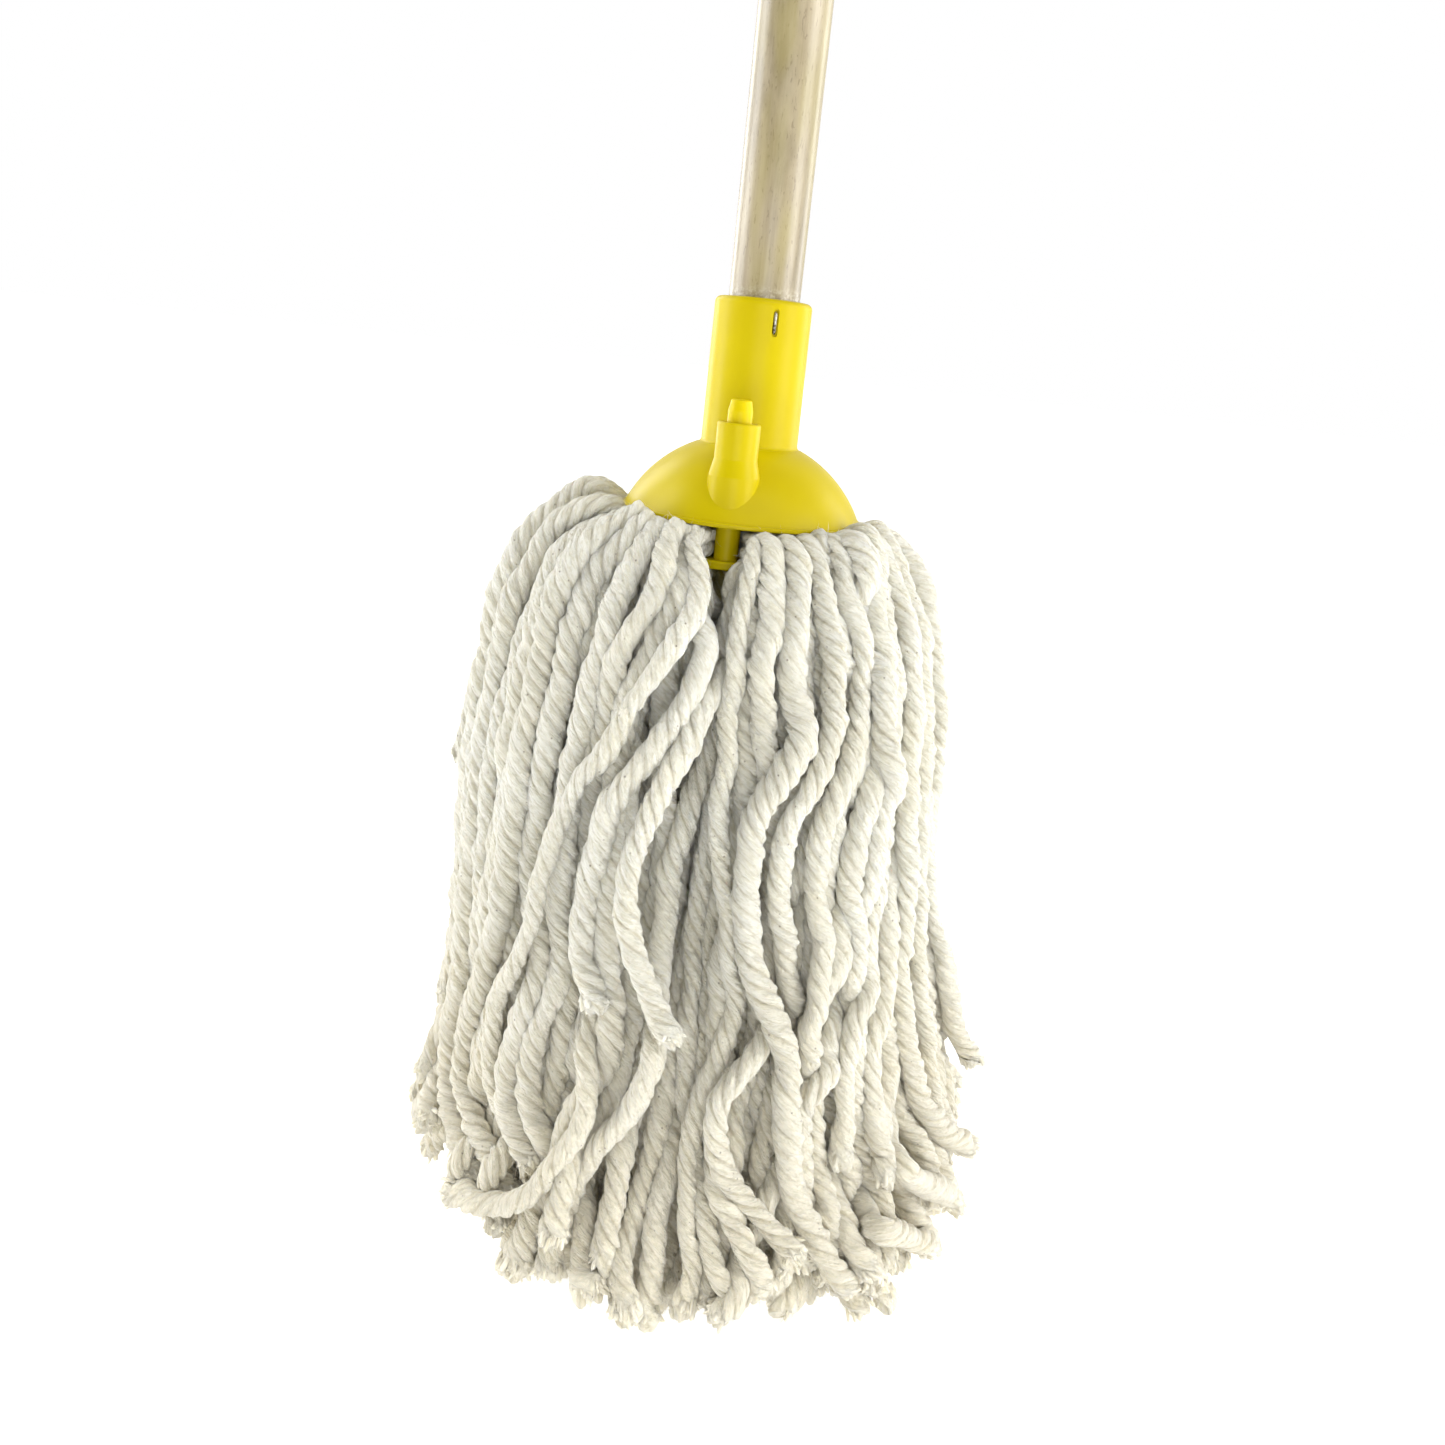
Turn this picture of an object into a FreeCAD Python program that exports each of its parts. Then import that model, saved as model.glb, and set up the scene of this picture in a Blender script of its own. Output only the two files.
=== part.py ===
"""String mop with a wooden handle, a two-piece plastic head and a skirt of cotton yarn.

The handle is driven into the tube of a domed socket cap and held by one wire staple. A round
retaining plate carries two posts, which pass up through the middle of the yarn and jam in two
bosses on the dome, so the yarn is clamped between dome and plate. The yarn hangs all round in
sixteen bundles, each of which swings outwards about the edge of the head.

Units are millimetres. Z runs along the handle, upwards. The origin is on the handle's axis at
the place where a wall clip or a hand holds it. The two posts lie in the YZ plane.
"""
import FreeCAD
import Part

import math
import os

Vector = FreeCAD.Vector
AXIS = Vector(0, 0, 1)

# Handle
HANDLE_R = 11.9
GRIP_TO_TOP = 155.0
GRIP_TO_MOUTH = 1000.0
TOP_ROUND = 6.0
SHOULDER_ABOVE_MOUTH = 0.5
SPIGOT_CLEARANCE = 0.05
SPIGOT_END_GAP = 0.5
SPIGOT_BEVEL = 1.0

# Socket cap: heights are above the rim of the dome
CAP_HEIGHT = 71.5
TUBE_R_TOP = 16.2
TUBE_R_FOOT = 16.5
TUBE_TOP_ROUND = 2.0
TUBE_FOOT_ROUND = 1.5
BORE_R_MOUTH = 11.9
BORE_R_FLOOR = 11.2
BORE_FLOOR = 20.0
BORE_MOUTH_BEVEL = 1.0
FLOOR_THICK = 3.0
INNER_TUBE_R = 15.0
DOME_R = 44.7
DOME_CENTRE_BELOW = 17.2
DOME_WALL = 2.2
LIP_R = 41.5
LIP_HEIGHT = 1.6
LIP_ROUND = 0.4

# Bosses on the dome and the posts in them
POST_OFFSET = 30.0
POST_R = 4.0
POST_CLEARANCE = 0.1
BOSS_R = 7.0
BOSS_FOOT_R = 8.4
BOSS_TOP = 32.5
BOSS_STEP_TOP = 21.0
BOSS_STEP_FOOT = 15.5
BOSS_EDGE_ROUND = 0.7
COUNTERSINK_R = 6.1
COUNTERSINK_DEPTH = 3.0
TIP_TOP = 39.6
TIP_TAPER = 3.6
TIP_R = 3.3
TIP_EDGE_ROUND = 0.7

# Retaining plate
PLATE_R = 36.5
PLATE_TOP_BELOW = 11.3
PLATE_THICK = 2.9
PLATE_ROUND = 0.8
PLATE_RIB_R = 25.0
PLATE_RIB_WIDE = 1.6
PLATE_RIB_HIGH = 1.4

# Staple through the tube into the wood
STAPLE_WIRE_R = 0.6
STAPLE_CROWN = 6.6
STAPLE_BELOW_MOUTH = 7.4
STAPLE_ANGLE = 22.8
STAPLE_LEG_REACH = 5.5
STAPLE_SUNK = 0.15
STAPLE_BEND_R = 0.96
STAPLE_POINT_LONG = 2.0
STAPLE_POINT_R = 0.1
SLIT_WIDE = 1.9
SLIT_LONG = 8.6
SLIT_DEEP = 0.8
SLIT_END_ROUND = 0.85

# Yarn
BUNDLES = 16
BUNDLE_SIDE_GAP = 2.1
YARN_GAP = 0.25
CLAMPED_R = 39.2
CLAMPED_TOP = 12.0
HINGE_R = 47.5
HINGE_BELOW = 6.0
HINGE_ROUND = 5.2
SKIRT_DEPTH = 250.0
SKIRT_THICK = 15.0
SKIRT_OUTSIDE = [(58.0, 9.0), (70.4, 34.0), (79.0, 71.0), (82.5, 108.0), (86.0, 149.0), (96.0, 195.0)]
SKIRT_HEM_R = 109.0

RIM_Z = -(GRIP_TO_MOUTH + CAP_HEIGHT)
PLATE_TOP = RIM_Z - PLATE_TOP_BELOW
DOME_CENTRE = RIM_Z - DOME_CENTRE_BELOW
DOME_INNER_R = DOME_R - DOME_WALL

# How far a cutting shape reaches past what it cuts, and how closely heights are compared
PAST = 1.0
CLOSE = 0.01


def point(r, z):
    """A point of a profile in the XZ plane."""
    return Vector(r, 0, z)


def line(start, end):
    return Part.LineSegment(start, end).toShape()


def arc(start, middle, end):
    return Part.Arc(start, middle, end).toShape()


def arc_about(centre_r, centre_z, radius, start_degrees, end_degrees):
    """An arc of a profile, given by its centre and the directions of its two ends."""
    def at(degrees):
        a = math.radians(degrees)
        return point(centre_r + radius * math.cos(a), centre_z + radius * math.sin(a))
    return arc(at(start_degrees), at((start_degrees + end_degrees) / 2), at(end_degrees))


def revolved(edges, degrees=360.0):
    """The solid that a closed profile sweeps about the Z axis."""
    face = Part.Face(Part.Wire(Part.__sortEdges__(edges)))
    return face.revolve(Vector(0, 0, 0), AXIS, degrees)


def cylinder(radius, low, high, x=0.0, y=0.0):
    return Part.makeCylinder(radius, high - low, Vector(x, y, low), AXIS)


def dome_radius_at(height, sphere_r):
    """The radius of the dome's outer or inner sphere at a height above the rim."""
    return math.sqrt(sphere_r ** 2 - (height + DOME_CENTRE_BELOW) ** 2)


def dome_height_at(radius, sphere_r):
    """The height above the rim of the dome's outer or inner sphere at a radius."""
    return math.sqrt(sphere_r ** 2 - radius ** 2) - DOME_CENTRE_BELOW


def bore_radius_at(z):
    """The tapered socket bore's radius at a height in the row frame."""
    low = RIM_Z + BORE_FLOOR
    high = -GRIP_TO_MOUTH - BORE_MOUTH_BEVEL
    return BORE_R_FLOOR + (BORE_R_MOUTH - BORE_R_FLOOR) * (z - low) / (high - low)


def make_handle():
    """A turned dowel: round top, full-size shaft, and a tapered spigot in the socket."""
    shaft_foot = -GRIP_TO_MOUTH + SHOULDER_ABOVE_MOUTH
    spigot_top = -GRIP_TO_MOUTH - BORE_MOUTH_BEVEL
    spigot_foot = RIM_Z + BORE_FLOOR + SPIGOT_END_GAP
    top_r = HANDLE_R - TOP_ROUND
    spigot_top_r = bore_radius_at(spigot_top) - SPIGOT_CLEARANCE
    spigot_foot_r = bore_radius_at(spigot_foot) - SPIGOT_CLEARANCE
    outline = [
        point(HANDLE_R, GRIP_TO_TOP - TOP_ROUND),
        point(HANDLE_R, shaft_foot),
        point(spigot_top_r, spigot_top),
        point(spigot_foot_r, spigot_foot + SPIGOT_BEVEL),
        point(spigot_foot_r - SPIGOT_BEVEL, spigot_foot),
        point(0, spigot_foot),
        point(0, GRIP_TO_TOP),
        point(top_r, GRIP_TO_TOP),
    ]
    edges = [line(a, b) for a, b in zip(outline, outline[1:])]
    edges.append(arc_about(top_r, GRIP_TO_TOP - TOP_ROUND, TOP_ROUND, 90, 0))
    return revolved(edges)


def make_cap_body():
    """Tube and dome in one revolved shell, with the tapered bore and the floor under it."""
    mouth = -GRIP_TO_MOUTH
    tube_round_r = TUBE_R_TOP - TUBE_TOP_ROUND
    foot_r = TUBE_R_FOOT + TUBE_FOOT_ROUND
    foot_z = RIM_Z + dome_height_at(foot_r, DOME_R)
    lip_in = RIM_Z + LIP_HEIGHT
    lip_r = dome_radius_at(LIP_HEIGHT, DOME_R)
    inner_rim_r = dome_radius_at(0, DOME_INNER_R)
    dome_mid_r = (foot_r + lip_r) / 2
    inner_mid_r = (INNER_TUBE_R + inner_rim_r) / 2
    inner_top = RIM_Z + dome_height_at(INNER_TUBE_R, DOME_INNER_R)
    floor_z = RIM_Z + BORE_FLOOR
    edges = [
        arc_about(tube_round_r, mouth - TUBE_TOP_ROUND, TUBE_TOP_ROUND, 90, 0),
        line(point(TUBE_R_TOP, mouth - TUBE_TOP_ROUND), point(TUBE_R_FOOT, foot_z + TUBE_FOOT_ROUND)),
        arc_about(foot_r, foot_z + TUBE_FOOT_ROUND, TUBE_FOOT_ROUND, 180, 270),
        arc(point(foot_r, foot_z),
            point(dome_mid_r, RIM_Z + dome_height_at(dome_mid_r, DOME_R)),
            point(lip_r, lip_in)),
        line(point(lip_r, lip_in), point(LIP_R - LIP_ROUND, lip_in)),
        arc_about(LIP_R - LIP_ROUND, lip_in - LIP_ROUND, LIP_ROUND, 90, 0),
        line(point(LIP_R, lip_in - LIP_ROUND), point(LIP_R, RIM_Z + LIP_ROUND)),
        arc_about(LIP_R - LIP_ROUND, RIM_Z + LIP_ROUND, LIP_ROUND, 0, -90),
        line(point(LIP_R - LIP_ROUND, RIM_Z), point(inner_rim_r, RIM_Z)),
        arc(point(inner_rim_r, RIM_Z),
            point(inner_mid_r, RIM_Z + dome_height_at(inner_mid_r, DOME_INNER_R)),
            point(INNER_TUBE_R, inner_top)),
        line(point(INNER_TUBE_R, inner_top), point(INNER_TUBE_R, floor_z - FLOOR_THICK)),
        line(point(INNER_TUBE_R, floor_z - FLOOR_THICK), point(0, floor_z - FLOOR_THICK)),
        line(point(0, floor_z - FLOOR_THICK), point(0, floor_z)),
        line(point(0, floor_z), point(BORE_R_FLOOR, floor_z)),
        line(point(BORE_R_FLOOR, floor_z), point(BORE_R_MOUTH, mouth - BORE_MOUTH_BEVEL)),
        line(point(BORE_R_MOUTH, mouth - BORE_MOUTH_BEVEL), point(BORE_R_MOUTH + BORE_MOUTH_BEVEL, mouth)),
        line(point(BORE_R_MOUTH + BORE_MOUTH_BEVEL, mouth), point(tube_round_r, mouth)),
    ]
    return revolved(edges)


def make_boss(side):
    """A stepped boss that stands on the dome, without its bore. side is -1 or 1 along Y."""
    top = RIM_Z + BOSS_TOP
    foot = RIM_Z + LIP_HEIGHT
    step_top = RIM_Z + BOSS_STEP_TOP
    step_foot = RIM_Z + BOSS_STEP_FOOT
    edge_r = BOSS_R - BOSS_EDGE_ROUND
    edges = [
        line(point(0, foot), point(BOSS_FOOT_R, foot)),
        line(point(BOSS_FOOT_R, foot), point(BOSS_FOOT_R, step_foot)),
        line(point(BOSS_FOOT_R, step_foot), point(BOSS_R, step_top)),
        line(point(BOSS_R, step_top), point(BOSS_R, top - BOSS_EDGE_ROUND)),
        arc_about(edge_r, top - BOSS_EDGE_ROUND, BOSS_EDGE_ROUND, 0, 90),
        line(point(edge_r, top), point(0, top)),
        line(point(0, top), point(0, foot)),
    ]
    boss = revolved(edges)
    boss.translate(Vector(0, side * POST_OFFSET, 0))
    hollow = Part.makeSphere(DOME_INNER_R + DOME_WALL / 2, Vector(0, 0, DOME_CENTRE))
    return boss.cut(hollow)


def make_boss_bore(side):
    """What is cut from a boss and the dome under it: the post's bore and its countersink."""
    y = side * POST_OFFSET
    top = RIM_Z + BOSS_TOP
    bore_r = POST_R + POST_CLEARANCE
    bore = cylinder(bore_r, RIM_Z - PAST, top + PAST, y=y)
    sink = Part.makeCone(bore_r, COUNTERSINK_R, COUNTERSINK_DEPTH, Vector(0, y, top - COUNTERSINK_DEPTH), AXIS)
    return bore.fuse(sink)


def make_slit():
    """The short slit in the tube's wall that the staple's crown has bitten."""
    outside = Vector(TUBE_R_TOP - SLIT_DEEP, -SLIT_WIDE / 2, 0)
    slit = Part.makeBox(SLIT_DEEP + PAST, SLIT_WIDE, SLIT_LONG, outside)
    radial_edges = [e for e in slit.Edges if abs(e.tangentAt(e.FirstParameter).x) > 1 - CLOSE]
    slit = slit.makeFillet(SLIT_END_ROUND, radial_edges)
    slit.translate(Vector(0, 0, -GRIP_TO_MOUTH - STAPLE_BELOW_MOUTH - SLIT_LONG / 2))
    return turned_to_staple(slit)


def turned_to_staple(shape):
    """A shape made on the +X side, turned about Z to where the staple is."""
    shape.rotate(Vector(0, 0, 0), AXIS, STAPLE_ANGLE - 90)
    return shape


def make_staple():
    """One wire: two pointed legs and the crown that joins them, with round corners."""
    crown_r = TUBE_R_TOP - STAPLE_SUNK - STAPLE_WIRE_R
    middle = -GRIP_TO_MOUTH - STAPLE_BELOW_MOUTH
    half = STAPLE_CROWN / 2
    bend = STAPLE_BEND_R
    corner = bend * (1 - math.sqrt(0.5))
    end_r = STAPLE_LEG_REACH
    edges = [
        line(point(end_r, middle + half), point(crown_r - bend, middle + half)),
        arc(point(crown_r - bend, middle + half), point(crown_r - corner, middle + half - corner),
            point(crown_r, middle + half - bend)),
        line(point(crown_r, middle + half - bend), point(crown_r, middle - half + bend)),
        arc(point(crown_r, middle - half + bend), point(crown_r - corner, middle - half + corner),
            point(crown_r - bend, middle - half)),
        line(point(crown_r - bend, middle - half), point(end_r, middle - half)),
    ]
    path = Part.Wire(edges)
    section = Part.Wire([Part.makeCircle(STAPLE_WIRE_R, point(end_r, middle + half), Vector(1, 0, 0))])
    wire = path.makePipeShell([section], True, True)
    tips = [
        Part.makeCone(STAPLE_POINT_R, STAPLE_WIRE_R, STAPLE_POINT_LONG,
                      point(end_r - STAPLE_POINT_LONG, middle + sign * half), Vector(1, 0, 0))
        for sign in (-1, 1)
    ]
    return turned_to_staple(wire.fuse(tips).removeSplitter())


def make_retaining_plate():
    """A round plate with two posts that end in tapered tips, and a stiffening ring below."""
    foot = PLATE_TOP - PLATE_THICK
    plate = cylinder(PLATE_R, foot, PLATE_TOP)
    plate = plate.makeFillet(PLATE_ROUND, [e for e in plate.Edges if e.Curve.TypeId == "Part::GeomCircle"])
    ring = cylinder(PLATE_RIB_R, foot - PLATE_RIB_HIGH, foot)
    ring = ring.cut(cylinder(PLATE_RIB_R - PLATE_RIB_WIDE, foot - PLATE_RIB_HIGH, foot))
    tip_foot = RIM_Z + TIP_TOP - TIP_TAPER
    pieces = [ring]
    for side in (-1, 1):
        y = side * POST_OFFSET
        pieces.append(cylinder(POST_R, foot, tip_foot, y=y))
        tip = Part.makeCone(POST_R, TIP_R, TIP_TAPER, Vector(0, y, tip_foot), AXIS)
        top_edge = [e for e in tip.Edges if e.BoundBox.ZMin > tip_foot + TIP_TAPER - CLOSE]
        pieces.append(tip.makeFillet(TIP_EDGE_ROUND, top_edge))
    return plate.fuse(pieces).removeSplitter()


def make_clamped_yarn():
    """The middle of the yarn, packed between dome and plate round the two posts."""
    foot = PLATE_TOP + YARN_GAP
    block = cylinder(CLAMPED_R, foot, RIM_Z + CLAMPED_TOP)
    inside = Part.makeSphere(DOME_INNER_R - YARN_GAP, Vector(0, 0, DOME_CENTRE))
    block = block.common(inside)
    for side in (-1, 1):
        hole = cylinder(POST_R + YARN_GAP, foot - PAST, RIM_Z + CLAMPED_TOP + PAST, y=side * POST_OFFSET)
        block = block.cut(hole)
    return block


def make_skirt():
    """The hanging yarn as one ring: a curved skirt, round-ended where it leaves the head."""
    hinge_z = RIM_Z - HINGE_BELOW
    hem_z = RIM_Z - SKIRT_DEPTH
    hem_in = SKIRT_HEM_R - SKIRT_THICK
    outside = [point(r, RIM_Z - below) for r, below in SKIRT_OUTSIDE]
    inside = [point(r - SKIRT_THICK, RIM_Z - below) for r, below in SKIRT_OUTSIDE[1:]]
    outer = Part.BSplineCurve()
    outer.interpolate([point(HINGE_R, hinge_z + HINGE_ROUND), *outside, point(SKIRT_HEM_R, hem_z)])
    inner = Part.BSplineCurve()
    inner.interpolate([point(HINGE_R, hinge_z - HINGE_ROUND), *inside, point(hem_in, hem_z)])
    return revolved([
        outer.toShape(),
        line(point(SKIRT_HEM_R, hem_z), point(hem_in, hem_z)),
        inner.toShape(),
        arc_about(HINGE_R, hinge_z, HINGE_ROUND, 270, 90),
    ])


def make_bundle(skirt, number):
    """One of the equal sectors of the skirt, with room at its sides to swing past its neighbours."""
    half = math.pi / BUNDLES
    apex = BUNDLE_SIDE_GAP / math.sin(half)
    reach = 2 * SKIRT_HEM_R
    low = RIM_Z - SKIRT_DEPTH - PAST
    corners = [
        Vector(apex, 0, low),
        Vector(apex + reach, -reach * math.tan(half), low),
        Vector(apex + reach, reach * math.tan(half), low),
    ]
    sector = Part.Face(Part.makePolygon(corners, True)).extrude(Vector(0, 0, SKIRT_DEPTH + 2 * PAST))
    bundle = skirt.common(sector)
    bundle.rotate(Vector(0, 0, 0), AXIS, bundle_degrees(number))
    return bundle


def bundle_degrees(number):
    """The direction of a bundle's middle. The two posts stand between two bundles."""
    return -90.0 + (number + 0.5) * 360.0 / BUNDLES


def main():
    staple = make_staple()
    cap = make_cap_body()
    for side in (-1, 1):
        cap = cap.fuse(make_boss(side))
    for side in (-1, 1):
        cap = cap.cut(make_boss_bore(side))
    cap = cap.cut(make_slit()).cut(staple).removeSplitter()
    shapes = {
        "handle": make_handle().cut(staple),
        "socket_cap": cap,
        "retaining_plate": make_retaining_plate(),
        "staple": staple,
        "yarn_clamped": make_clamped_yarn(),
    }
    skirt = make_skirt()
    for number in range(BUNDLES):
        shapes[f"yarn_bundle_{number + 1:02d}"] = make_bundle(skirt, number)
    os.makedirs("parts", exist_ok=True)
    for name, shape in shapes.items():
        solids = shape.Solids
        whole = solids[0] if len(solids) == 1 else Part.makeCompound(solids)
        whole.exportStep(f"parts/{name}.step")
        box = whole.BoundBox
        print(f"{name}: {len(solids)} solid, valid {whole.isValid()}, {whole.Volume / 1000:.1f} cm3, "
              f"z {box.ZMin:.1f} to {box.ZMax:.1f}")


main()
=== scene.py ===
import math

import bpy
import numpy as np
from mathutils import Matrix, Vector


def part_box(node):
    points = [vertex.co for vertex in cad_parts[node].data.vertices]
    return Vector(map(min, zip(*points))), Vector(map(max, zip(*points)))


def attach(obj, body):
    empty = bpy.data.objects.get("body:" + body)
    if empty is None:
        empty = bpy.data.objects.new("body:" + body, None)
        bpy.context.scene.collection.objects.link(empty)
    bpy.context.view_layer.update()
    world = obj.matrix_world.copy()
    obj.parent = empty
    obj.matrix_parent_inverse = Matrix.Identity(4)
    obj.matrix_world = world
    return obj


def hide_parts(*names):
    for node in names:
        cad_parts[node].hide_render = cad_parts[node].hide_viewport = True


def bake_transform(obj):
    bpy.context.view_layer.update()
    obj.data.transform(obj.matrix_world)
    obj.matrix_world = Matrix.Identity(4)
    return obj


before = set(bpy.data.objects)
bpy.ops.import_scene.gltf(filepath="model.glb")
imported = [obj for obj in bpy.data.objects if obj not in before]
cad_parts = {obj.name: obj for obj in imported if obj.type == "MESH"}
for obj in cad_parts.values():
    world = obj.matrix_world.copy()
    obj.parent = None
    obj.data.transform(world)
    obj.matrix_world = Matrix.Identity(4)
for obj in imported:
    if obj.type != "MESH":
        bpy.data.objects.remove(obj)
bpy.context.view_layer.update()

# All lengths below are millimetres unless a name says otherwise. Depth is measured down from the
# dome's rim. Turn is the direction about the handle in degrees: 0 is the front post, 90 is +X.
MM = 0.001
CAP_LOW, CAP_HIGH = (np.array(c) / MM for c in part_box("socket_cap"))
RIM_Z = CAP_LOW[2]
LIP_R = CAP_HIGH[0]
BUNDLES = sum(name.startswith("yarn_bundle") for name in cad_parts)

rng = np.random.default_rng(41)


# ---- the skirt's shape

# Depth and radius of the surface that the middles of the outer yarns lie on
SKIRT = ((0, 46), (4, 50.5), (9, 55), (34, 67), (71, 75), (108, 79), (149, 83), (195, 92), (250, 105),
         (275, 110))
# How much fuller the skirt is towards turn -80, and towards turn 90, by depth
FULLER_LEFT = ((0, 3), (9, 5), (34, 8), (71, 8), (108, 6), (149, 3), (195, -3), (250, -8))
FULLER_RIGHT = ((0, 0), (34, -1), (108, -2), (149, 0), (195, 2), (250, 4))
# Turn and depth of the hem
HEM = ((-180, 228), (-90, 222), (-55, 226), (-20, 233), (0, 243), (45, 245), (70, 240), (100, 228),
       (180, 228))

# A leg's usual radius, the floor's depth, and the largest distance of a leg's middle from the handle
YARN_R = 4.3
FLOOR_DEPTH = 254.0
WIDEST = 112.0


def curve_at(table, x):
    """The value at x of a table of pairs, straight between them."""
    return np.interp(x, [p[0] for p in table], [p[1] for p in table])


def wrapped(turn):
    """A turn brought between -180 and 180."""
    return (np.asarray(turn, float) + 180) % 360 - 180


def skirt_radius(depth, turn):
    left = np.clip(np.cos(np.radians(turn + 80)), 0, 1) ** 1.5
    right = np.clip(np.cos(np.radians(turn - 90)), 0, 1)
    fuller = curve_at(FULLER_LEFT, depth) * left
    return curve_at(SKIRT, depth) + fuller + curve_at(FULLER_RIGHT, depth) * right


def place(turn, radius, depth):
    """Points in millimetres from turns, radii and depths."""
    a = np.radians(turn)
    return np.stack([radius * np.sin(a), -radius * np.cos(a), RIM_Z - depth + 0 * a], -1)


# Where the camera stands, against the middle of the dome's rim, and how far it's turned about the handle
CAMERA_TURN = 7.0
CAMERA_AWAY = 454.0
CAMERA_ASIDE = 1.1
CAMERA_ABOVE_RIM = 52.6


def camera_place():
    a = math.radians(CAMERA_TURN)
    x = CAMERA_ASIDE * math.cos(a) + CAMERA_AWAY * math.sin(a)
    y = CAMERA_ASIDE * math.sin(a) - CAMERA_AWAY * math.cos(a)
    return np.array([x, y, RIM_Z + CAMERA_ABOVE_RIM])


def slid_in_view(points, radius):
    """Moves points along their lines of sight to a given distance from the middle."""
    eye = camera_place()
    way = points - eye
    a = (way[:, :2] ** 2).sum(1)
    b = 2 * (eye[:2] * way[:, :2]).sum(1)
    c = (eye[:2] ** 2).sum() - radius ** 2
    inside = b * b - 4 * a * c
    at = (-b - np.sqrt(np.maximum(inside, 0))) / (2 * a)
    slid = eye + way * at[:, None]
    beside = points.copy()
    beside[:, :2] *= (radius / np.hypot(points[:, 0], points[:, 1]))[:, None]
    near = (inside > 0) & (np.abs(at - 1) < 0.06)
    return np.where(near[:, None], slid, beside)


# ---- routes of the yarn legs

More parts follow.
